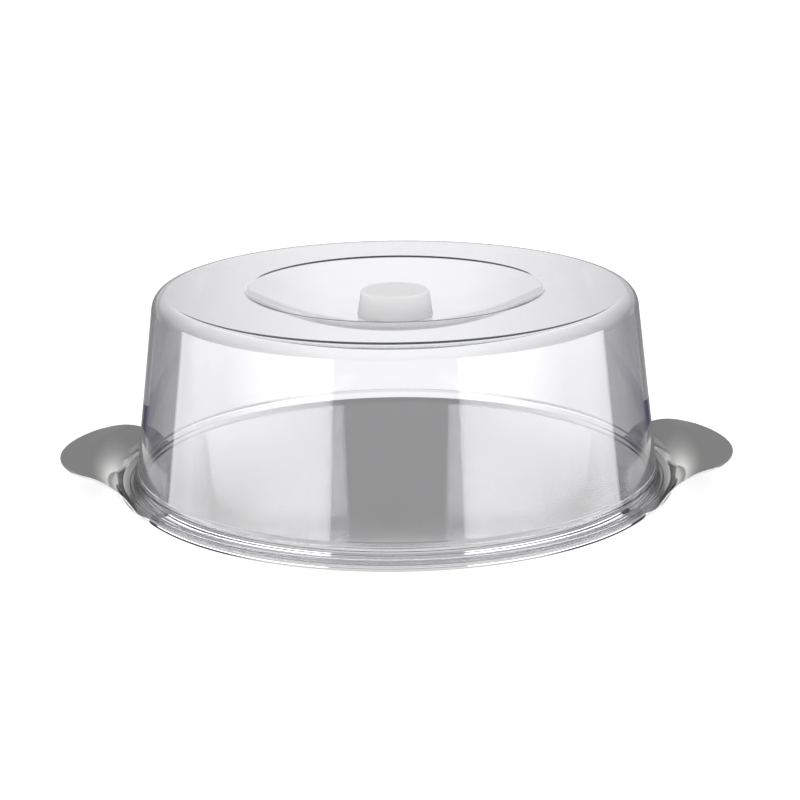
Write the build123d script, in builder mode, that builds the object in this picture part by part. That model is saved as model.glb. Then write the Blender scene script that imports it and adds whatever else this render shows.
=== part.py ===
from build123d import *
from math import atan2, cos, radians, sqrt, tan
import os

# A round steel platter with two wing handles, under a clear cover with a sunken frosted knob.
# The origin is on the table, under the centre of the platter. +Z is up, and the handles lie along X.

# Platter: one pressed sheet
sheet = 0.8                # thickness of the steel
platter_radius = 150.0     # outside of the turned rim
rim_height = 2.2           # from the table to the top of the seat
rim_bend = 1.2             # outer radius of the turned rim
middle_height = 8.5        # top of the raised middle, where the cake stands
middle_slope_run = 1.4     # how far the middle's side leans out on its way down
middle_edge = 3.0          # rounding at the top of that side
middle_foot = 2.0          # rounding at its foot

# Wing handles, swept up from the seat
wing_length = 38.0         # how far a handle's tip is outside the round rim
wing_half_width = 45.0     # at the tip's corners, before rounding
wing_flare = 0.65          # how much wider a handle gets towards the platter, mm for each mm
wing_tip_rise = 16.4       # how far the tip bulges out past its corners
wing_corner = 25.0         # rounding of the two tip corners, seen from above
wing_blend = 8.0           # hollow rounding where a handle meets the round rim
wing_neck_flat = 3.5       # the rim stays flat this far to the side of where they would meet
wing_height = 18.8         # top of the handle above the table
wing_tip_drop = 0.9        # how far the tip hangs below that
wing_root_out = 2.8        # from the round rim out to where the seat and the rise would meet
wing_slope = 59.0          # steepness of the rise, degrees
wing_root_bend = 5.0       # hollow rounding at the foot of the rise
wing_top_bend = 18.5       # rounding at the top of the rise

# Cover: one clear moulding
cover_height = 111.0       # top ring above the table
cover_wall = 2.2
skirt_inset = 0.6          # the skirt stands on the seat this far inside the round rim
ledge_height = 6.0         # top of the ledge above the table
ledge_edge = 1.2           # rounding of the ledge's outer edge
ledge_width = 3.0
riser_lean = 0.3
cover_play = 0.5           # between the riser's inside and the foot of the raised middle
step_low = 11.2            # the riser ends here and slopes in
step_high = 12.9           # the tapered wall starts here
wall_set_in = 1.8          # from the riser's outside in to the foot of the wall
wall_draft = 7.1           # taper of the wall, degrees
shoulder = 9.0             # outer rounding between wall and top ring
bowl_radius = 81.5         # where the top ring and the bowl's side would meet
bowl_depth = 15.5
bowl_slope = 24.0          # steepness of the bowl's side, degrees
bowl_lip = 3.0             # rounding at the top of the bowl
bowl_hollow = 115.0        # rounding between the bowl's side and its floor

# Knob: one frosted cap, welded round a locating ring on the bowl's floor
knob_radius = 20.9         # at the foot
knob_top_radius = 18.7     # at the top, before rounding
knob_height = 14.0
knob_wall = 2.6
knob_edge = 1.8            # rounding of the top edge
knob_foot_edge = 0.5
ring_play = 0.15           # between the knob's bore and the locating ring
ring_height = 2.5
ring_wall = 2.0

small = 0.8                # rounding of the cover's inner corners
seat_height = rim_height
bowl_floor = cover_height - bowl_depth
skirt_radius = platter_radius - skirt_inset
riser_radius = skirt_radius - ledge_width
wall_foot_radius = riser_radius - wall_set_in
seat_in = riser_radius - riser_lean - cover_wall - cover_play
middle_radius = seat_in - middle_slope_run
rim_flat = platter_radius - rim_bend
wing_root = platter_radius + wing_root_out
wing_reach = platter_radius + wing_length
section_end = wing_reach + sheet

# Where a handle's straight side would meet the round rim, and from there the end of the turned rim
corner_x = wing_reach - wing_tip_rise
centre_half_width = wing_half_width + wing_flare * corner_x
side_steepness = 1 + wing_flare ** 2
side_middle = centre_half_width * wing_flare / side_steepness
side_reach = sqrt(side_middle ** 2 - (centre_half_width ** 2 - platter_radius ** 2) / side_steepness)
neck_x = side_middle + side_reach
rim_gap_half_width = centre_half_width - wing_flare * neck_x + wing_neck_flat
wing_inner_x = neck_x / 2
wing_inner_half_width = centre_half_width - wing_flare * wing_inner_x


with BuildPart() as turned_rim:
    # The rim, turned down to the table at the front and the back
    with BuildSketch(Plane.XZ):
        with BuildLine():
            FilletPolyline(
                (rim_flat - sheet, seat_height),
                (platter_radius, seat_height),
                (platter_radius, 0),
                radius=rim_bend,
            )
            offset(amount=sheet, side=Side.RIGHT)
        make_face()
    revolve(axis=Axis.Z)
    Box(2 * wing_reach, 2 * rim_gap_half_width, 2 * middle_height, mode=Mode.SUBTRACT)

with BuildPart() as platter:
    # The pressed sheet's section, from the centre to past the handle's tip
    rise_run = (wing_height - seat_height) / tan(radians(wing_slope))
    with BuildSketch(Plane.XZ):
        with BuildLine():
            FilletPolyline(
                (0, middle_height),
                (middle_radius, middle_height),
                (seat_in, seat_height),
                (wing_root, seat_height),
                (wing_root + rise_run, wing_height),
                (section_end, wing_height - wing_tip_drop),
                radius=[middle_edge, middle_foot, wing_root_bend, wing_top_bend],
            )
            offset(amount=sheet, side=Side.RIGHT)
        make_face()
    revolve(axis=Axis.Z)

    # Its outline seen from above: a disc inside the rim, and the two handles
    with BuildSketch(Plane.XY) as outline:
        with BuildLine():
            Line((wing_inner_x, -wing_inner_half_width), (corner_x, -wing_half_width))
            ThreePointArc((corner_x, -wing_half_width), (wing_reach, 0), (corner_x, wing_half_width))
            Line((corner_x, wing_half_width), (wing_inner_x, wing_inner_half_width))
            Line((wing_inner_x, wing_inner_half_width), (wing_inner_x, -wing_inner_half_width))
        make_face()
        fillet(outline.vertices().group_by(Axis.X)[-1], wing_corner)
        mirror(about=Plane.YZ)
        Circle(platter_radius)
        necks = outline.vertices().filter_by(lambda v: abs(Vector(v).length - platter_radius) < 0.01)
        fillet(necks, wing_blend)
        Rectangle(2 * section_end, 2 * rim_gap_half_width, mode=Mode.INTERSECT)
        Circle(rim_flat)
    extrude(amount=wing_height + sheet, mode=Mode.INTERSECT)
    add(turned_rim.part)
platter.part.label = "platter"

with BuildPart() as cover:
    # The moulding's section: outside line, inside line, and the two ends that join them
    wall_run = cover_wall / cos(radians(wall_draft))
    corner_run = cover_wall * tan(radians(wall_draft))
    top_corner = wall_foot_radius - (cover_height - step_high) * tan(radians(wall_draft))
    step_lean = atan2(riser_radius - riser_lean - wall_foot_radius, step_high - step_low)
    step_shift = cover_wall * tan(step_lean / 2)
    slope_shift = cover_wall * tan(radians(bowl_slope / 2))
    bowl_floor_corner = bowl_radius - bowl_depth / tan(radians(bowl_slope))
    with BuildSketch(Plane.XZ):
        with BuildLine():
            outside = FilletPolyline(
                (skirt_radius, seat_height),
                (skirt_radius, ledge_height),
                (riser_radius, ledge_height),
                (riser_radius - riser_lean, step_low),
                (wall_foot_radius, step_high),
                (top_corner, cover_height),
                (bowl_radius, cover_height),
                (bowl_floor_corner, bowl_floor),
                (0, bowl_floor),
                radius=[ledge_edge, small, small, small, shoulder, bowl_lip, bowl_hollow],
            )
            inside = FilletPolyline(
                (skirt_radius - cover_wall, seat_height),
                (skirt_radius - cover_wall, ledge_height - cover_wall),
                (riser_radius - cover_wall, ledge_height - cover_wall),
                (riser_radius - cover_wall - riser_lean, step_low - step_shift),
                (wall_foot_radius - wall_run, step_high),
                (top_corner - wall_run + corner_run, cover_height - cover_wall),
                (bowl_radius + slope_shift, cover_height - cover_wall),
                (bowl_floor_corner + slope_shift, bowl_floor - cover_wall),
                (0, bowl_floor - cover_wall),
                radius=[small, small, small, small, shoulder - cover_wall, bowl_lip + cover_wall,
                        bowl_hollow + cover_wall],
            )
            Line(outside @ 0, inside @ 0)
            Line(outside @ 1, inside @ 1)
        make_face()
    revolve(axis=Axis.Z)

    # The ring on the bowl's floor that the knob goes round
    ring_radius = knob_radius - knob_wall - ring_play
    with BuildSketch(Plane.XY.offset(bowl_floor)):
        Circle(ring_radius)
        Circle(ring_radius - ring_wall, mode=Mode.SUBTRACT)
    extrude(amount=ring_height)
cover.part.label = "cover"

with BuildPart() as knob:
    with BuildSketch(Plane.XZ):
        with BuildLine():
            FilletPolyline(
                (knob_radius - knob_wall, bowl_floor),
                (knob_radius, bowl_floor),
                (knob_top_radius, bowl_floor + knob_height),
                (0, bowl_floor + knob_height),
                radius=[knob_foot_edge, knob_edge],
            )
            Polyline(
                (0, bowl_floor + knob_height),
                (0, bowl_floor + knob_height - knob_wall),
                (knob_top_radius - knob_wall, bowl_floor + knob_height - knob_wall),
                (knob_radius - knob_wall, bowl_floor + ring_height),
                (knob_radius - knob_wall, bowl_floor),
            )
        make_face()
    revolve(axis=Axis.Z)
knob.part.label = "knob"

os.makedirs("parts", exist_ok=True)
export_step(platter.part, "parts/platter.step")
export_step(cover.part, "parts/cover.step")
export_step(knob.part, "parts/knob.step")
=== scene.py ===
# %% [markdown]
# # A steel cake platter under a clear cover
#
# The object has three pieces: a pressed sheet of polished steel with two wing handles, a clear moulded cover
# with a sunken top, and a frosted knob that stands in the sunken part. Nearly all of it is turned round one
# upright axis, so this lesson is about lines with rounded corners, about turning them, and about polished
# metal and clear plastic.
#
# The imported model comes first. It gives the true places and sizes, and each piece made here replaces one of
# its nodes.

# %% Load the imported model
import bpy
import numpy as np
from mathutils import Matrix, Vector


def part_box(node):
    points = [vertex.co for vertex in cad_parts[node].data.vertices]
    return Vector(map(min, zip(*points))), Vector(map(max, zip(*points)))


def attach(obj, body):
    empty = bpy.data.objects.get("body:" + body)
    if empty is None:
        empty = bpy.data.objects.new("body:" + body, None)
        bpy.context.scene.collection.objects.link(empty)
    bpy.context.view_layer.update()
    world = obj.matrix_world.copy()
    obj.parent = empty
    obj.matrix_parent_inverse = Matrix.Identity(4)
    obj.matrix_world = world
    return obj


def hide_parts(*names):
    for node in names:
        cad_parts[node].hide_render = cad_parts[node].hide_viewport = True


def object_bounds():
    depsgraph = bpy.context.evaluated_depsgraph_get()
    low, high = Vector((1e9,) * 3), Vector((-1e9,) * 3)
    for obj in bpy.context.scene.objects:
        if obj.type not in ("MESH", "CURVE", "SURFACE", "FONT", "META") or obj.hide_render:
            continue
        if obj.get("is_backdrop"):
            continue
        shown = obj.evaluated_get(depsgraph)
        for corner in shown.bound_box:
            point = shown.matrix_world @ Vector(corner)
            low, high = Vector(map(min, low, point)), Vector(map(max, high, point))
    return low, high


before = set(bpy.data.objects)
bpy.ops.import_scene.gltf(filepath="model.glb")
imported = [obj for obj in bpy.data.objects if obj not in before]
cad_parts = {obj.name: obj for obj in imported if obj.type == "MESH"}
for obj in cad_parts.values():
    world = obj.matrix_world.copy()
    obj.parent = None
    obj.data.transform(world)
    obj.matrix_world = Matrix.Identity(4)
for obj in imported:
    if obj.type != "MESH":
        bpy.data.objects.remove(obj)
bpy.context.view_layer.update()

MM = 0.001
PLATTER_BODY = "platter"
COVER_BODY = "cover"

# %% [markdown]
# ## The camera
#
# The photograph looks from the front and a little above, from far away with a long lens. Its place was found
# by matching outlines of the platter and the cover. A camera can be placed with angles, but here its three
# own directions are worked out and written as the columns of a matrix, which keeps the small roll exact.

# %% Place the camera
CAMERA_PLACE = (0.0, -1.148545, 0.371284)
CAMERA_LENS_MM = 96.363
PITCH, YAW, ROLL = 0.2759, 0.0019, -0.0104


def camera_matrix(place, pitch, yaw, roll):
    """A matrix whose columns are the camera's right, up and backward directions, and its place.

    Forward is the y direction, turned by yaw to the side and by pitch downwards. Right is level, up is square to
    both, and roll turns right and up round forward."""
    forward = np.array([np.cos(pitch) * np.sin(yaw), np.cos(pitch) * np.cos(yaw), -np.sin(pitch)])
    level = np.array([np.cos(yaw), -np.sin(yaw), 0.0])
    upward = np.cross(level, forward)
    right = np.cos(roll) * level + np.sin(roll) * upward
    up = np.cos(roll) * upward - np.sin(roll) * level
    turned = np.eye(4)
    turned[:3] = np.column_stack([right, up, -forward, place])
    return Matrix(turned.tolist())


lens = bpy.data.cameras.new("photo_camera")
lens.lens = CAMERA_LENS_MM
camera = bpy.data.objects.new("photo_camera", lens)
bpy.context.scene.collection.objects.link(camera)
camera.matrix_world = camera_matrix(CAMERA_PLACE, PITCH, YAW, ROLL)
bpy.context.scene.camera = camera
print("camera looks down by", round(float(np.degrees(PITCH)), 1), "degrees")

# %% [markdown]
# ## Lines with rounded corners
#
# Pressed and moulded things have no sharp corners. Each section here is written as a few corner points, r and
# z, which are distance from the axis and height, with one radius for each inner corner. The helper below puts
# an arc in each corner. It also gives the exact direction square to the line at each point. Smooth shading
# usually guesses these directions from the faces, and on mirror-like metal the guess shows as ripples, so
# they are kept for later.

# %% Round the corners of a line
ARC_STEP = np.radians(6.0)
ARC_LENGTH = 3.0
FEWEST_STEPS = 2


def left_of(direction):
    """The direction a quarter turn to the left of each (r, z) direction: (a, b) becomes (-b, a)."""
    return np.stack([-direction[..., 1], direction[..., 0]], axis=-1)


def arc_in_corner(before, corner, after, radius):
    """An arc of the given radius that touches both runs of a corner, and its left-hand directions.

    It starts radius times tan(half the turn) before the corner. Its centre is square to the run there, on
    the side that the line turns to, and the travel direction turns evenly from the first run to the second."""
    first = (corner - before) / np.linalg.norm(corner - before)
    second = (after - corner) / np.linalg.norm(after - corner)
    turn = np.arctan2(first[0] * second[1] - first[1] * second[0], first @ second)
    start = corner - first * radius * np.tan(abs(turn) / 2)
    steps = int(np.ceil(max(abs(turn) / ARC_STEP, radius * abs(turn) / ARC_LENGTH, FEWEST_STEPS)))
    angle = np.linspace(0, turn, steps + 1)
    travel = np.stack([first[0] * np.cos(angle) - first[1] * np.sin(angle),
                       first[0] * np.sin(angle) + first[1] * np.cos(angle)], axis=-1)
    side = left_of(travel)
    return start + np.sign(turn) * radius * (side[0] - side), side


def rounded(corners, radii):
    """A line through the corners with each inner one rounded: its points and its left-hand directions."""
    corners = np.array(corners, float)
    arcs = [arc_in_corner(*corners[i:i + 3], radius) for i, radius in enumerate(radii)]
    ends = corners[[0, -1]]
    points = np.concatenate([ends[:1], *[arc[0] for arc in arcs], ends[1:]])
    sides = np.concatenate([arcs[0][1][:1], *[arc[1] for arc in arcs], arcs[-1][1][-1:]])
    return points, sides


def along(points):
    """The distance travelled along a line up to each of its points."""
    return np.concatenate([[0.0], np.cumsum(np.linalg.norm(np.diff(points, axis=0), axis=1))])


def pick(line, distance):
    """Points and left-hand directions of a line at distances along it, by straight interpolation."""
    points, sides = line
    travelled = along(points)
    columns = np.concatenate([points, sides], axis=1).T
    found = np.stack([np.interp(distance, travelled, column) for column in columns], axis=-1)
    side = found[..., 2:]
    return found[..., :2], side / np.linalg.norm(side, axis=-1, keepdims=True)


# %% [markdown]
# ## From a grid of points to a closed mesh
#
# A turned piece is a grid: one index runs along the section, from the top of the axis round the edge to the
# underside, and the other runs round the axis. The Screw or Spin tools would turn a profile as well, but a
# grid worked out at once can also change its shape on the way round, which the handles need. The two ends are
# single points on the axis, closed with triangles, so the mesh has no hole and no doubled point.

# %% Build a closed mesh from the grid
def with_single_poles(grid):
    """All points of a grid in one list, where each end row, which lies on the axis, is there once."""
    return np.concatenate([grid[:1, 0], grid[1:-1].reshape(-1, 3), grid[-1:, 0]])


def closed_mesh(name, places, sides):
    """A closed mesh from places[i, j], with i along the section and j round the axis.

    Rings i and i + 1 are joined by quads whose corners run along the section and then round the axis, which
    faces them outwards. The first and last rows are single points and get triangles. Its shading uses the
    sides given."""
    rings, columns = places.shape[0] - 2, places.shape[1]
    ring, here = np.meshgrid(np.arange(rings - 1), np.arange(columns), indexing="ij")
    there = (here + 1) % columns
    quads = 1 + np.stack([ring * columns + here, (ring + 1) * columns + here,
                          (ring + 1) * columns + there, ring * columns + there], axis=-1).reshape(-1, 4)
    last = 1 + (rings - 1) * columns
    end = last + columns
    here, there = here[0], there[0]
    top = np.stack([0 * here, 1 + here, 1 + there], axis=-1)
    bottom = np.stack([last + here, 0 * here + end, last + there], axis=-1)
    mesh = bpy.data.meshes.new(name)
    points = with_single_poles(places)
    mesh.from_pydata((points * MM).tolist(), [], quads.tolist() + top.tolist() + bottom.tolist())
    mesh.polygons.foreach_set("use_smooth", np.ones(len(mesh.polygons), bool))
    mesh.normals_split_custom_set_from_vertices(with_single_poles(sides).tolist())
    piece = bpy.data.objects.new(name, mesh)
    bpy.context.scene.collection.objects.link(piece)
    triangles = 2 * len(quads) + len(top) + len(bottom)
    print(name, "has", triangles, "triangles and measures", np.round(np.ptp(points, axis=0), 1), "mm")
    return piece


def spun(pairs, angle):
    """Each (r, z) pair at each angle: x = r cos(angle), y = r sin(angle), z as it is."""
    out = np.stack([np.cos(angle), np.sin(angle)], axis=-1)
    return np.concatenate([pairs[:, None, :1] * out, np.repeat(pairs[:, None, 1:], len(angle), axis=1)], axis=-1)


def turned(name, line, columns):
    """A piece turned round the axis, with its section at evenly spaced angles."""
    angle = np.linspace(0, 2 * np.pi, columns, endpoint=False)
    return closed_mesh(name, *(spun(pairs, angle) for pairs in line))


# %% [markdown]
# ## The platter's section
#
# The real platter is one sheet of steel, 0.8 mm thick, pressed to shape. Its raised middle carries the cake,
# a narrow seat round it carries the cover, and the handles sweep up from that seat. At the front and the back
# the sheet is turned down to the table instead. A flat sheet with Solidify would do for a plain tray. Here
# both endings are sections of their own, and the mesh passes from one to the other beside each handle.

# %% Draw the platter's two sections
SHEET = 0.8
RIM_RADIUS, RIM_BEND, SEAT_HEIGHT = 150.0, 1.2, 2.2
MIDDLE_HEIGHT, MIDDLE_RADIUS, MIDDLE_FOOT = 8.5, 142.0, 143.4
WING_ROOT, WING_SLOPE, WING_HEIGHT, WING_REACH = 152.8, np.radians(59.0), 18.8, 188.0
WING_TIP_DROP = 0.9
MIDDLE_EDGE_BEND, MIDDLE_FOOT_BEND, WING_ROOT_BEND, WING_TOP_BEND = 3.0, 2.0, 5.0, 18.5
RIM_EDGE_BEND = 0.2
RIM_FLAT = RIM_RADIUS - RIM_BEND

pressed = rounded(
    [(0, MIDDLE_HEIGHT), (MIDDLE_RADIUS, MIDDLE_HEIGHT), (MIDDLE_FOOT, SEAT_HEIGHT), (WING_ROOT, SEAT_HEIGHT),
     (WING_ROOT + (WING_HEIGHT - SEAT_HEIGHT) / np.tan(WING_SLOPE), WING_HEIGHT),
     (WING_REACH + SHEET, WING_HEIGHT - WING_TIP_DROP)],
    [MIDDLE_EDGE_BEND, MIDDLE_FOOT_BEND, WING_ROOT_BEND, WING_TOP_BEND])
turned_down = rounded(
    [(RIM_FLAT, SEAT_HEIGHT), (RIM_RADIUS, SEAT_HEIGHT), (RIM_RADIUS, 0), (RIM_RADIUS - SHEET, 0),
     (RIM_RADIUS - SHEET, SEAT_HEIGHT - SHEET), (RIM_FLAT, SEAT_HEIGHT - SHEET)],
    [RIM_BEND, RIM_EDGE_BEND, RIM_EDGE_BEND, RIM_BEND - SHEET])
print("the handle's section is", round(float(along(pressed[0])[-1]), 1), "mm long")

# %% [markdown]
# ## The handles seen from above
#
# From above, each handle is a soft trapezium that grows out of the round rim. Its outline is made of touching
# lines and arcs: the rim's circle, a small hollow arc at the neck, a straight side, a large corner and a flat
# curve at the tip. Touching arcs need only the places of their centres, which the next cell finds.

# %% Find how far the platter reaches at each angle
WING_HALF_WIDTH, WING_FLARE, TIP_RISE = 45.0, 0.65, 16.4
WING_CORNER, WING_NECK = 25.0, 8.0
HANDLE_ENDS, HANDLE_STEPS, RIM_STEPS = 32.0, 88, 42
QUARTER, HALF_TURN = 90.0, np.pi


def centre_at(start, direction, hub, distance):
    """The point of a line that lies at the given distance from a hub, the one nearer to the line's start.

    With p from hub to start, the two answers are t = -(p . d) plus or minus
    sqrt((p . d)^2 - p . p + distance^2)."""
    from_hub = start - hub
    middle = -(from_hub @ direction)
    half = np.sqrt(middle ** 2 - from_hub @ from_hub + distance ** 2)
    return start + direction * min(middle - half, middle + half, key=abs)


def arc(hub, radius, start, end, steps=24):
    """Points of a circle round hub from the direction of one point to the direction of another."""
    first, last = (np.arctan2(*(point - hub)[::-1]) for point in (start, end))
    angle = np.linspace(first, first + (last - first + np.pi) % (2 * np.pi) - np.pi, steps)
    return hub + radius * np.stack([np.cos(angle), np.sin(angle)], axis=-1)


origin = np.zeros(2)
tip_radius = (WING_HALF_WIDTH ** 2 + TIP_RISE ** 2) / (2 * TIP_RISE)
tip_hub = np.array([WING_REACH - tip_radius, 0.0])
wing_corner = np.array([WING_REACH - TIP_RISE, WING_HALF_WIDTH])
side_run = np.array([-1.0, WING_FLARE]) / np.hypot(1, WING_FLARE)
side_out = np.array([WING_FLARE, 1.0]) / np.hypot(1, WING_FLARE)
corner_hub = centre_at(wing_corner - WING_CORNER * side_out, side_run, tip_hub, tip_radius - WING_CORNER)
neck_hub = centre_at(wing_corner + WING_NECK * side_out, side_run, origin, RIM_RADIUS + WING_NECK)
neck_start = neck_hub * RIM_RADIUS / (RIM_RADIUS + WING_NECK)
corner_end = tip_hub + (corner_hub - tip_hub) * tip_radius / (tip_radius - WING_CORNER)
outline = np.concatenate([
    arc(origin, RIM_RADIUS, np.array([0, RIM_RADIUS]), neck_start),
    arc(neck_hub, WING_NECK, neck_start, neck_hub - WING_NECK * side_out),
    arc(corner_hub, WING_CORNER, corner_hub + WING_CORNER * side_out, corner_end),
    arc(tip_hub, tip_radius, corner_end, np.array([WING_REACH, 0])),
])
outline_angle = np.arctan2(outline[:, 1], outline[:, 0])
outline_reach = np.hypot(outline[:, 0], outline[:, 1])

quarter = np.radians(np.concatenate([np.linspace(0, HANDLE_ENDS, HANDLE_STEPS, endpoint=False),
                                     np.linspace(HANDLE_ENDS, QUARTER, RIM_STEPS, endpoint=False)]))
half_turn = np.concatenate([quarter, [HALF_TURN / 2], HALF_TURN - quarter[:0:-1]])
angles = np.concatenate([half_turn, half_turn + HALF_TURN])
folded = np.arctan2(np.abs(np.sin(angles)), np.abs(np.cos(angles)))
order = np.argsort(outline_angle)
reach = np.interp(folded, outline_angle[order], outline_reach[order])
print("handle neck at", np.round(neck_start, 1), "mm, tip at", round(float(reach.max()), 1), "mm")

# %% [markdown]
# ## The platter's mesh
#
# For each angle the sheet follows the pressed section out to the outline, goes round its thin edge and comes
# back along the underside, one sheet thickness below. Beside the handles the turned-down ending fades in over
# a few millimetres, as the pressed rim does. The edge's shading directions lean with the outline, so light
# runs along it.

# %% Make the platter
SEAT_OUT = 146.0
REACH_ROWS, EDGE_ROWS = 44, 22
FADE_FROM, FADE_TO = 69.0, 74.0
NEAR_AXIS = [0.0, 15.0, 60.0, 110.0]

pressed_points = pressed[0]
travelled = along(pressed_points)
seat_place = np.interp(SEAT_OUT, pressed_points[:, 0], travelled)
inner = travelled[travelled < seat_place]
inner = np.sort(np.concatenate([NEAR_AXIS, inner[1:]]))
inner_points, inner_sides = pick(pressed, inner)

edge_place = np.interp(reach - SHEET / 2, pressed_points[:, 0], travelled)
way_out = np.linspace(0, 1, REACH_ROWS)[:, None]
outer_points, outer_sides = pick(pressed, seat_place + way_out * (edge_place - seat_place))
flat_points = np.stack([SEAT_OUT + way_out * (RIM_FLAT - SEAT_OUT), 0 * way_out + SEAT_HEIGHT], axis=-1)
flat_sides = np.broadcast_to([0.0, 1.0], flat_points.shape)

round_edge = np.linspace(0, np.pi, EDGE_ROWS)[1:-1, None, None]
end_points, end_sides = outer_points[-1], outer_sides[-1]
end_travel = -left_of(end_sides)
edge_sides = end_sides * np.cos(round_edge) + end_travel * np.sin(round_edge)
edge_points = end_points - end_sides * SHEET / 2 + edge_sides * SHEET / 2
down_places = np.linspace(0, along(turned_down[0])[-1], EDGE_ROWS)[1:-1]
down_points, down_sides = (grid[:, None] for grid in pick(turned_down, down_places))

beside = np.abs(RIM_RADIUS * np.sin(angles))
fade = np.clip((FADE_TO - beside) / (FADE_TO - FADE_FROM), 0, 1)
beside_handle = np.cos(folded) > np.cos(np.pi / 4)
fade = (fade * fade * (3 - 2 * fade) * beside_handle)[:, None]


def mixed(on_handle, on_rim):
    """The handle's shape where fade is 1, the turned-down rim's where it is 0, a straight mix between."""
    return fade * on_handle + (1 - fade) * on_rim


def under(places, directions):
    """The same rows from the outside in, one sheet thickness below, facing the other way."""
    return (places - SHEET * directions)[::-1], -directions[::-1]


def at_all_angles(row):
    """The same section points for each angle of the platter."""
    return np.repeat(row[:, None], len(angles), axis=1)


top_points, top_sides = at_all_angles(inner_points), at_all_angles(inner_sides)
out_points, out_sides = mixed(outer_points, flat_points), mixed(outer_sides, flat_sides)
rows = [(top_points, top_sides), (out_points, out_sides),
        (mixed(edge_points, down_points), mixed(edge_sides, down_sides)),
        under(out_points, out_sides), under(top_points, top_sides)]
section_points = np.concatenate([row[0] for row in rows])
section_sides = np.concatenate([row[1] for row in rows])
section_sides = section_sides / np.linalg.norm(section_sides, axis=-1, keepdims=True)

edge_row = np.zeros(len(section_points))
edge_start = len(inner) + REACH_ROWS
edge_row[edge_start:edge_start + EDGE_ROWS - 2] = 1
lean = -np.gradient(reach, angles) / reach * np.where(fade[:, 0] > 0, 1, 0)
lean = edge_row[:, None] * np.arctan(lean)
place_out = np.stack([np.cos(angles), np.sin(angles)], axis=-1)
side_out = np.stack([np.cos(angles + lean), np.sin(angles + lean)], axis=-1)
platter_places = np.concatenate([section_points[..., :1] * place_out, section_points[..., 1:]], axis=-1)
platter_sides = np.concatenate([section_sides[..., :1] * side_out, section_sides[..., 1:]], axis=-1)
steel_platter = closed_mesh("steel_platter", platter_places, platter_sides)

# %% [markdown]
# ## The clear cover
#
# The cover is one moulding with a wall of 2.2 mm. From the table up it has a skirt that stands on the seat, a
# narrow ledge, a small riser, a tall wall that leans in by 7 degrees so that it leaves its mould, a rounded
# shoulder, a flat ring, and a shallow bowl for the fingers. Clear plastic is lit through its thickness, so it
# is modelled as a real closed wall with an inside, never as one sheet. The same helper turns its section
# round the axis.

# %% Make the cover
WALL = 2.2
COVER_HEIGHT, BOWL_FLOOR, BOWL_RADIUS, BOWL_HOLLOW = 111.0, 95.5, 81.5, 115.0
SKIRT_RADIUS, LEDGE_HEIGHT, RISER_RADIUS, RISER_LEAN = 149.4, 6.0, 146.4, 0.3
STEP_LOW, STEP_HIGH, WALL_FOOT = 11.2, 12.9, 144.6
RING_OUT, RING_IN, RING_TOP = 18.15, 16.15, BOWL_FLOOR + 2.5
DRAFT, BOWL_SLOPE = np.radians(7.1), np.radians(24.0)
SHOULDER, BOWL_LIP, LEDGE_EDGE, SMALL, TINY = 9.0, 3.0, 1.2, 0.8, 0.3
FOOT_GAP, COVER_COLUMNS = 0.03, 360

wall_run = WALL / np.cos(DRAFT)
top_corner = WALL_FOOT - (COVER_HEIGHT - STEP_HIGH) * np.tan(DRAFT)
bowl_corner = BOWL_RADIUS - (COVER_HEIGHT - BOWL_FLOOR) / np.tan(BOWL_SLOPE)
step_lean = np.arctan2(RISER_RADIUS - RISER_LEAN - WALL_FOOT, STEP_HIGH - STEP_LOW)
step_shift = WALL * np.tan(step_lean / 2)
slope_shift = WALL * np.tan(BOWL_SLOPE / 2)
foot = SEAT_HEIGHT + FOOT_GAP

cover_line = rounded(
    [(0, BOWL_FLOOR), (RING_IN, BOWL_FLOOR), (RING_IN, RING_TOP), (RING_OUT, RING_TOP), (RING_OUT, BOWL_FLOOR),
     (bowl_corner, BOWL_FLOOR), (BOWL_RADIUS, COVER_HEIGHT), (top_corner, COVER_HEIGHT), (WALL_FOOT, STEP_HIGH),
     (RISER_RADIUS - RISER_LEAN, STEP_LOW), (RISER_RADIUS, LEDGE_HEIGHT), (SKIRT_RADIUS, LEDGE_HEIGHT),
     (SKIRT_RADIUS, foot), (SKIRT_RADIUS - WALL, foot), (SKIRT_RADIUS - WALL, LEDGE_HEIGHT - WALL),
     (RISER_RADIUS - WALL, LEDGE_HEIGHT - WALL), (RISER_RADIUS - WALL - RISER_LEAN, STEP_LOW - step_shift),
     (WALL_FOOT - wall_run, STEP_HIGH), (top_corner - wall_run + WALL * np.tan(DRAFT), COVER_HEIGHT - WALL),
     (BOWL_RADIUS + slope_shift, COVER_HEIGHT - WALL), (bowl_corner + slope_shift, BOWL_FLOOR - WALL),
     (0, BOWL_FLOOR - WALL)],
    [TINY, TINY, TINY, TINY, BOWL_HOLLOW, BOWL_LIP, SHOULDER, SMALL, SMALL, SMALL, LEDGE_EDGE, TINY, TINY,
     SMALL, SMALL, SMALL, SMALL, SHOULDER - WALL, BOWL_LIP + WALL, BOWL_HOLLOW + WALL])
clear_cover = turned("clear_cover", cover_line, COVER_COLUMNS)

# %% [markdown]
# ## The frosted knob
#
# The knob is a thick cap, a little narrower at its top, standing in the bowl over a small ring. It is moulded
# in the same plastic as the cover and roughened, which is why it looks milky. Its hollow inside shows as a
# soft darker shape, so the cap is modelled with its inside too.

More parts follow.
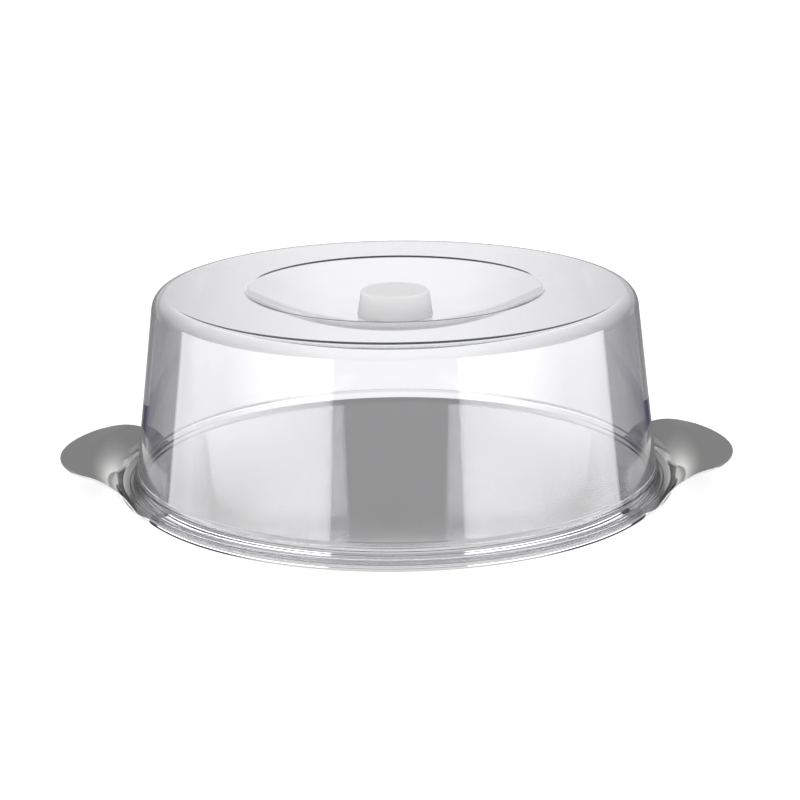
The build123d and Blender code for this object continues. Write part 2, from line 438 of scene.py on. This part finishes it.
# %% Make the knob
KNOB_RADIUS, KNOB_TOP_RADIUS, KNOB_TOP, KNOB_WALL = 20.9, 18.7, BOWL_FLOOR + 14.0, 2.6
KNOB_EDGE, KNOB_FOOT_EDGE, KNOB_COLUMNS = 1.8, 0.5, 240
knob_foot = BOWL_FLOOR + FOOT_GAP
knob_line = rounded(
    [(0, KNOB_TOP), (KNOB_TOP_RADIUS, KNOB_TOP), (KNOB_RADIUS, knob_foot), (KNOB_RADIUS - KNOB_WALL, knob_foot),
     (KNOB_RADIUS - KNOB_WALL, RING_TOP), (KNOB_TOP_RADIUS - KNOB_WALL, KNOB_TOP - KNOB_WALL),
     (0, KNOB_TOP - KNOB_WALL)],
    [KNOB_EDGE, KNOB_FOOT_EDGE, TINY, TINY, TINY])
frosted_knob = turned("frosted_knob", knob_line, KNOB_COLUMNS)

# %% [markdown]
# ## Materials: small helpers
#
# A material here is a graph of nodes. The first helper adds a node and sets its sockets by name, and a link
# is made where a socket of another node is given. The others add the few kinds of node that come back again
# and again. Patterns read Object coordinates, in metres, so they keep their real scale.

# %% Helpers that add nodes
def add_node(tree, kind, links=(), **values):
    """Adds a node of a kind, sets attributes or sockets by name, and joins (source socket, input) pairs."""
    node = tree.nodes.new(kind)
    for name, value in values.items():
        title = name.replace("_", " ")
        if hasattr(node, name):
            setattr(node, name, value)
        else:
            node.inputs[title].default_value = value
    for source, target in links:
        tree.links.new(source, node.inputs[target])
    return node


def maths(tree, operation, *values):
    """The result of a Math node, where each value is a number or another node's socket."""
    node = add_node(tree, "ShaderNodeMath", operation=operation)
    for socket, value in zip(node.inputs, values):
        if isinstance(value, bpy.types.NodeSocket):
            tree.links.new(value, socket)
        else:
            socket.default_value = value
    return node.outputs[0]


def is_above(tree, value, limit=0.5):
    """A socket that is 1 where the value is above the limit and 0 elsewhere."""
    return maths(tree, "GREATER_THAN", value, limit)


def ranged(tree, value, low, high, to_low=0.0, to_high=1.0):
    """The value's place between low and high, kept inside them and given as a number from to_low to to_high."""
    return add_node(tree, "ShaderNodeMapRange", [(value, "Value")], From_Min=low, From_Max=high,
                    To_Min=to_low, To_Max=to_high).outputs[0]


def noise(tree, coordinates, scale, detail):
    """A soft random pattern from 0 to 1 over the piece."""
    node = add_node(tree, "ShaderNodeTexNoise", [(coordinates, "Vector")], Scale=scale, Detail=detail)
    return node.outputs["Fac"]


def bumped(tree, height, strength, distance):
    """A shading direction that leans as if the surface rose with the given height pattern."""
    return add_node(tree, "ShaderNodeBump", [(height, "Height")], Strength=strength, Distance=distance).outputs[0]


def blended(tree, share, first, second):
    """A mix of two colours: the first where share is 0 and the second where it is 1."""
    node = add_node(tree, "ShaderNodeMix", [(share, "Factor")], data_type="RGBA")
    node.inputs["A"].default_value = (*first, 1)
    node.inputs["B"].default_value = (*second, 1)
    return node.outputs["Result"]


def ramp(tree, socket, stops):
    """A colour ramp: each stop is a place from 0 to 1 and a grey level or a colour."""
    node = add_node(tree, "ShaderNodeValToRGB", [(socket, 0)])
    for place, colour in stops[1:-1]:
        node.color_ramp.elements.new(place)
    for element, (place, colour) in zip(node.color_ramp.elements, stops):
        element.position = place
        element.color = (*np.broadcast_to(colour, 3), 1)
    return node.outputs["Color"]


def new_material(name):
    """An empty node material, its tree, its output and an Object coordinates socket."""
    material = bpy.data.materials.new(name)
    material.use_nodes = True
    tree = material.node_tree
    tree.nodes.clear()
    output = tree.nodes.new("ShaderNodeOutputMaterial")
    coordinates = tree.nodes.new("ShaderNodeTexCoord").outputs["Object"]
    return material, tree, output, coordinates


# %% [markdown]
# ## Polished steel
#
# The platter is rolled steel with a bright polish. It mirrors its surroundings almost sharply, but fine rings
# from the polishing wheel and a slow change in gloss keep it from looking like chrome. The rings are a noise
# that varies with the distance from the axis only, and both the roughness and a faint bump read it.

# %% The platter's material
STEEL_DARKER, STEEL_PALER = (0.70, 0.69, 0.685), (0.74, 0.735, 0.73)
RING_FINENESS, RING_DETAIL = 2500.0, 3.0
CLOUDS = (0.3, 0.7)
GLOSS_BY_CLOUDS, GLOSS_BASE = (0.045, 0.085), 0.03

steel, tree, output, coordinates = new_material("polished_steel")
flatten = add_node(tree, "ShaderNodeVectorMath", [(coordinates, 0)], operation="MULTIPLY")
flatten.inputs[1].default_value = (1, 1, 0)
axis_distance = add_node(tree, "ShaderNodeVectorMath", [(flatten.outputs[0], 0)], operation="LENGTH")
rings = add_node(tree, "ShaderNodeTexNoise", [(axis_distance.outputs["Value"], "W")], noise_dimensions="1D",
                 Scale=RING_FINENESS, Detail=RING_DETAIL).outputs["Fac"]
clouds = noise(tree, coordinates, scale=28.0, detail=3.0)
gloss = maths(tree, "MULTIPLY_ADD", ranged(tree, clouds, *CLOUDS, *GLOSS_BY_CLOUDS), rings, GLOSS_BASE)
tint = blended(tree, clouds, STEEL_DARKER, STEEL_PALER)
relief = bumped(tree, rings, strength=0.02, distance=0.0001)
steel_shader = add_node(tree, "ShaderNodeBsdfPrincipled",
                        [(tint, "Base Color"), (gloss, "Roughness"), (relief, "Normal")], Metallic=1.0)
tree.links.new(steel_shader.outputs[0], output.inputs["Surface"])

# %% [markdown]
# ## Clear plastic and frosted plastic
#
# Both are the same plastic, slightly blue where one looks through a lot of it. The tint sits in the volume,
# so it gathers at edges by itself, as it does in a real moulding. A very faint waviness bends reflections on
# the cover. The knob scatters light at its roughened skin: a fine grain in the bump, and a high roughness.

# %% The cover's and the knob's materials
PLASTIC_IOR = 1.5
THICK_TINT, TINT_PER_METRE = (0.50, 0.50, 0.86), 16.0
WIPED, FILM = (0.35, 0.75), (0.0, 0.02)
FROST_COLOUR, FROST_CLEARNESS = (0.97, 0.97, 0.975), 0.04
MIST, FROST = (0.3, 0.7), (0.42, 0.52)

clear, tree, output, coordinates = new_material("clear_plastic")
waves = noise(tree, coordinates, scale=14.0, detail=2.0)
waviness = bumped(tree, waves, strength=0.05, distance=0.0002)
film = ranged(tree, noise(tree, coordinates, scale=45.0, detail=4.0), *WIPED, *FILM)
clear_shader = add_node(tree, "ShaderNodeBsdfPrincipled", [(film, "Roughness"), (waviness, "Normal")],
                        Base_Color=(1, 1, 1, 1), IOR=PLASTIC_IOR, Transmission_Weight=1.0)
tree.links.new(clear_shader.outputs[0], output.inputs["Surface"])
depth = add_node(tree, "ShaderNodeVolumeAbsorption", Color=(*THICK_TINT, 1), Density=TINT_PER_METRE)
tree.links.new(depth.outputs[0], output.inputs["Volume"])

frosted, tree, output, coordinates = new_material("frosted_plastic")
grain = noise(tree, coordinates, scale=2600.0, detail=2.0)
grain = bumped(tree, grain, strength=0.15, distance=0.0001)
frost = ranged(tree, noise(tree, coordinates, scale=120.0, detail=3.0), *MIST, *FROST)
frosted_shader = add_node(tree, "ShaderNodeBsdfPrincipled", [(frost, "Roughness"), (grain, "Normal")],
                          Base_Color=(*FROST_COLOUR, 1), IOR=PLASTIC_IOR, Transmission_Weight=FROST_CLEARNESS)
tree.links.new(frosted_shader.outputs[0], output.inputs["Surface"])

# %% [markdown]
# ## Pieces and bodies
#
# Each new piece stands for one node of the imported model, rides on that node's body and gets its material.

# %% Dress the imported model
for piece, node, body, slot, material in (
    (steel_platter, "platter", PLATTER_BODY, "satin_steel", steel),
    (clear_cover, "cover", COVER_BODY, "clear_plastic", clear),
    (frosted_knob, "knob", COVER_BODY, "frosted_plastic", frosted),
):
    piece.data.materials.append(material)
    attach(piece, body)
    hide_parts(node)
    low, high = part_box(node)
    size = [round((b - a) / MM, 1) for a, b in zip(low, high)]
    print(piece.name, "replaces", node, "whose size is", size, "mm")

# %% [markdown]
# ## The studio
#
# Shiny and clear things show their surroundings more than themselves, so the studio is part of their look.
# Before white a clear cover is hard to see, and photographers help it in three ways. Two tall soft lights at
# the camera's own distance put a pale sheen on its wall, with a gap between them where the camera stands. The
# room is dark low at the sides, which gives the wall its grey bands at the left and the right, where it is
# seen at a flat angle. A low grey card just behind the platter gives the polished plate something darker than
# white to mirror.
#
# The floor is plain white paper that keeps the object's soft shadow. Seen through the cover it gets a little
# greyer towards the sides, a painted fall-off of light as on a backdrop lit at its middle, and mirrored rays
# pass it, so that the lights can reach below it as they do over a glass table.

# %% The floor
def mixed_shader(tree, share, first, second):
    """The first shader where share is 0 and the second where it is 1."""
    node = add_node(tree, "ShaderNodeMixShader", [(share, 0)])
    tree.links.new(first.outputs[0], node.inputs[1])
    tree.links.new(second.outputs[0], node.inputs[2])
    return node


def stage_mesh(name, points, faces, material):
    """A studio piece made of the given points, in metres, and faces."""
    mesh = bpy.data.meshes.new(name)
    mesh.from_pydata(points, [], faces)
    mesh.materials.append(material)
    piece = bpy.data.objects.new(name, mesh)
    bpy.context.scene.collection.objects.link(piece)
    piece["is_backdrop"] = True
    return piece


FLOOR_HALF, UNDER = 3.0, -0.0001
GLOW, PAPER_DARKER, PAPER_PALER = 0.60, (0.84, 0.84, 0.84), (0.86, 0.86, 0.86)
AWAY_SCALE, AWAY_START, WIDEST = 2.2, 0.87, 0.25
THROUGH_PLASTIC = 1.02
THROUGH_SHADE_BY_SLANT = ((0.0, 1.0), (0.12, 0.98), (0.28, 0.75), (0.36, 0.62), (0.44, 0.51), (0.56, 0.51),
                    (0.80, 0.95), (1.0, 0.95))

paper, tree, output, coordinates = new_material("white_paper")
path = tree.nodes.new("ShaderNodeLightPath")
fibres = noise(tree, coordinates, scale=60.0, detail=2.0)
paper_tint = blended(tree, fibres, PAPER_DARKER, PAPER_PALER)
matte = add_node(tree, "ShaderNodeBsdfDiffuse", [(paper_tint, "Color")])
glow = add_node(tree, "ShaderNodeEmission", Strength=GLOW)
lit_paper = add_node(tree, "ShaderNodeAddShader", [(matte.outputs[0], 0), (glow.outputs[0], 1)])
across = add_node(tree, "ShaderNodeSeparateXYZ", [(coordinates, 0)]).outputs
away = maths(tree, "MULTIPLY_ADD", across["Y"], AWAY_SCALE, AWAY_START)
slant = maths(tree, "DIVIDE", maths(tree, "ABSOLUTE", across["X"]), away)
slant = ranged(tree, slant, 0.0, WIDEST)
# Painted shade: seen through the cover the paper is greyer towards the sides, as if less light fell there.
seen_through_shaded = add_node(tree, "ShaderNodeEmission", [(ramp(tree, slant, THROUGH_SHADE_BY_SLANT), "Color")],
                        Strength=THROUGH_PLASTIC)
shown = mixed_shader(tree, path.outputs["Is Transmission Ray"], lit_paper, seen_through_shaded)
passing = tree.nodes.new("ShaderNodeBsdfTransparent")
shown = mixed_shader(tree, is_above(tree, path.outputs["Glossy Depth"]), shown, passing)
tree.links.new(shown.outputs[0], output.inputs["Surface"])
floor_corners = [(x * FLOOR_HALF, y * FLOOR_HALF, UNDER) for x, y in ((-1, -1), (1, -1), (1, 1), (-1, 1))]
stage_mesh("studio_floor", floor_corners, [(0, 1, 2, 3)], paper)

# %% [markdown]
# ## Soft lights that show in reflections only
#
# The soft lights are two upright strips bent round the object. A ray that is mirrored inside the clear wall
# leaves it again through its skin, so it counts as passing through, and hiding the lights from such rays
# would hide half of each reflection. The Light Path node tells them apart: a ray that was mirrored on its way
# has a Glossy Depth above zero. All other rays pass the strips as if they weren't there.

# %% Soft lights
LIGHT_RADIUS, LIGHT_LOW, LIGHT_HIGH = 1.10, -0.21, 0.23
LIGHT_FROM, LIGHT_TO = 26.0, 105.0
LIGHT_STEPS = ((26.0, 2.5), (28.0, 4.2), (32.0, 4.8), (50.0, 4.7), (62.0, 4.2), (76.0, 3.6), (95.0, 3.45),
               (105.0, 2.4))
LIGHT_ENDS = ((-1, "soft_light_left", 109.5), (1, "soft_light_right", LIGHT_TO))
STRIP_STEPS = 40
BRIGHTEST = max(level for angle, level in LIGHT_STEPS)


def only_mirrored(tree, output, shader):
    """Shows the shader to mirrored rays and lets all others pass."""
    passing = tree.nodes.new("ShaderNodeBsdfTransparent")
    mirrored = is_above(tree, tree.nodes.new("ShaderNodeLightPath").outputs["Glossy Depth"])
    tree.links.new(mixed_shader(tree, mirrored, passing, shader).outputs[0], output.inputs["Surface"])


def only_in_reflections(piece):
    """Hides a studio piece from the camera, from shadows and from diffuse light."""
    piece.visible_camera = piece.visible_shadow = piece.visible_diffuse = False


def bent_strip(name, side, last, material):
    """An upright strip on a circle: x = side R sin(a), y = -R cos(a), with a from the front."""
    angle = np.radians(np.linspace(LIGHT_FROM, last, STRIP_STEPS + 1))
    low = np.stack([side * LIGHT_RADIUS * np.sin(angle), -LIGHT_RADIUS * np.cos(angle),
                    np.full_like(angle, LIGHT_LOW)], axis=-1)
    points = np.concatenate([low, low + (0, 0, LIGHT_HIGH - LIGHT_LOW)])
    here = np.arange(STRIP_STEPS)
    faces = np.stack([here, here + 1, here + STRIP_STEPS + 2, here + STRIP_STEPS + 1], axis=-1)
    return stage_mesh(name, points.tolist(), faces.tolist(), material)


soft, tree, output, coordinates = new_material("soft_light")
around = add_node(tree, "ShaderNodeSeparateXYZ", [(coordinates, 0)]).outputs
ahead = maths(tree, "MULTIPLY", around["Y"], -1.0)
turn = maths(tree, "ARCTAN2", maths(tree, "ABSOLUTE", around["X"]), ahead)
turn = ranged(tree, turn, float(np.radians(LIGHT_FROM)), float(np.radians(LIGHT_TO)))
levels = [((angle - LIGHT_FROM) / (LIGHT_TO - LIGHT_FROM), level / BRIGHTEST) for angle, level in LIGHT_STEPS]
lamp_shader = add_node(tree, "ShaderNodeEmission", [(ramp(tree, turn, levels), "Color")], Strength=BRIGHTEST)
only_mirrored(tree, output, lamp_shader)
for side, name, last in LIGHT_ENDS:
    only_in_reflections(bent_strip(name, side, last, soft))
print("soft lights reach from", LIGHT_FROM, "degrees to", [last for side, name, last in LIGHT_ENDS], "degrees")

# %% [markdown]
# ## The grey card behind the platter
#
# The plate and the handles mirror what stands low behind them. The card is darkest at its middle and its
# ends, and pale at two round spots behind the handles, which makes the soft fall of grey on the plate. Like
# the lights it shows to mirrored rays only, so from behind it doesn't hide the object.

# %% Grey card
CARD_HALF, CARD_BEHIND, CARD_HIGH = 0.26, 0.17, 0.116
CARD_BRIGHTENS_FROM, CARD_TOP_GAIN = 0.8 * CARD_HIGH, 1.3
SPOT_PLACE, SPOT_RADIUS = 0.130, 0.100
SPOT = ((0.0, 0.95), (0.12, 0.89), (0.28, 0.72), (0.44, 0.55), (0.58, 0.43), (0.70, 0.36), (0.85, 0.29),
        (1.0, 0.29))

grey, tree, output, coordinates = new_material("grey_card")
card_place = add_node(tree, "ShaderNodeSeparateXYZ", [(coordinates, 0)]).outputs
aside = maths(tree, "SUBTRACT", maths(tree, "ABSOLUTE", card_place["X"]), SPOT_PLACE)
from_spot = add_node(tree, "ShaderNodeCombineXYZ", [(aside, "X"), (card_place["Z"], "Z")])
from_spot = add_node(tree, "ShaderNodeVectorMath", [(from_spot.outputs[0], 0)], operation="LENGTH")
from_spot = ranged(tree, from_spot.outputs["Value"], 0.0, SPOT_RADIUS)
gain = ranged(tree, card_place["Z"], CARD_BRIGHTENS_FROM, CARD_HIGH, 1.0, CARD_TOP_GAIN)
card_shader = add_node(tree, "ShaderNodeEmission", [(ramp(tree, from_spot, SPOT), "Color"), (gain, "Strength")])
only_mirrored(tree, output, card_shader)
card_corners = [(x * CARD_HALF, CARD_BEHIND, z * CARD_HIGH) for x, z in ((-1, 0), (1, 0), (1, 1), (-1, 1))]
only_in_reflections(stage_mesh("grey_card", card_corners, [(0, 1, 2, 3)], grey))

# %% [markdown]
# ## The surroundings
#
# The world holds three pictures of the room, and the kind of ray decides which is read. The camera, and rays
# through the plastic, see even white. Diffuse rays see a soft light that is strongest at the horizon.
# Mirrored rays see the room itself: a back wall, dark sides and a front wall, each a ramp over the height of
# the ray's direction, joined by how far the direction points to the back. What they see below the horizon,
# with its navy sides, is a ramp over how far the direction points to the back.

# %% Surroundings
BACK_WALL = ((0.0, 0.95), (0.02, 0.79), (0.10, 0.60), (0.17, 0.60), (0.20, 0.88), (0.30, 0.93), (1.0, 1.0))
SIDE_WALL = ((0.0, 0.06), (0.10, 0.10), (0.25, 0.40), (0.40, 0.60), (0.55, 0.9), (1.0, 1.0))
FRONT_WALL = ((0.0, 0.95), (0.08, 0.90), (0.18, 0.45), (0.45, 0.45), (0.65, 0.9), (1.0, 1.0))
NAVY = (0.08, 0.077, 0.115)
BELOW_SIDES = ((0.0, 0.95), (0.25, 0.95), (0.40, NAVY), (0.95, NAVY), (1.0, 0.6))
SIDE_TO_BACK, FRONT_TO_SIDE, DOWN = (0.72, 0.96), (0.10, 0.20), (-0.10, -0.22)
SOFT_LIGHT, SOFT_BY_HEIGHT = 2.4, ((0.0, 1.0), (1.0, 0.0))

world = bpy.data.worlds.new("studio")
bpy.context.scene.world = world
world.use_nodes = True
tree = world.node_tree
tree.nodes.clear()
output = tree.nodes.new("ShaderNodeOutputWorld")
direction = tree.nodes.new("ShaderNodeTexCoord").outputs["Generated"]
direction = add_node(tree, "ShaderNodeSeparateXYZ", [(direction, 0)]).outputs


def wall_colour(stops):
    """A grey for each height of the direction: 0 is the horizon, 1 is straight up."""
    return ramp(tree, direction["Z"], stops)


def joined(share, first, second):
    """The first colour where share is 0 and the second where it is 1."""
    return add_node(tree, "ShaderNodeMix", [(share, "Factor"), (first, "A"), (second, "B")],
                    data_type="RGBA").outputs["Result"]


def background(colour, strength):
    """A light of the given colour from all directions that see it."""
    return add_node(tree, "ShaderNodeBackground", [(colour, "Color")], Strength=strength)


at_back = joined(ranged(tree, direction["Y"], *SIDE_TO_BACK), wall_colour(SIDE_WALL), wall_colour(BACK_WALL))
surround = joined(ranged(tree, direction["Y"], *FRONT_TO_SIDE), wall_colour(FRONT_WALL), at_back)
below = ramp(tree, ranged(tree, direction["Y"], -1.0, 1.0), BELOW_SIDES)
surround = joined(ranged(tree, direction["Z"], *DOWN), surround, below)
path = tree.nodes.new("ShaderNodeLightPath")
even = add_node(tree, "ShaderNodeBackground", Color=(1, 1, 1, 1), Strength=1.0)
plain = mixed_shader(tree, is_above(tree, path.outputs["Diffuse Depth"]), even,
                     background(wall_colour(SOFT_BY_HEIGHT), SOFT_LIGHT))
mirrored = is_above(tree, path.outputs["Glossy Depth"])
shown = mixed_shader(tree, mirrored, plain, background(surround, 1.0))
tree.links.new(shown.outputs[0], output.inputs["Surface"])

# %% Plain view settings, the sizes and the end
bpy.context.scene.view_settings.view_transform = "Standard"
low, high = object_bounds()
print("visual model, mm:", [round(v / MM, 1) for v in (*low, *high)])
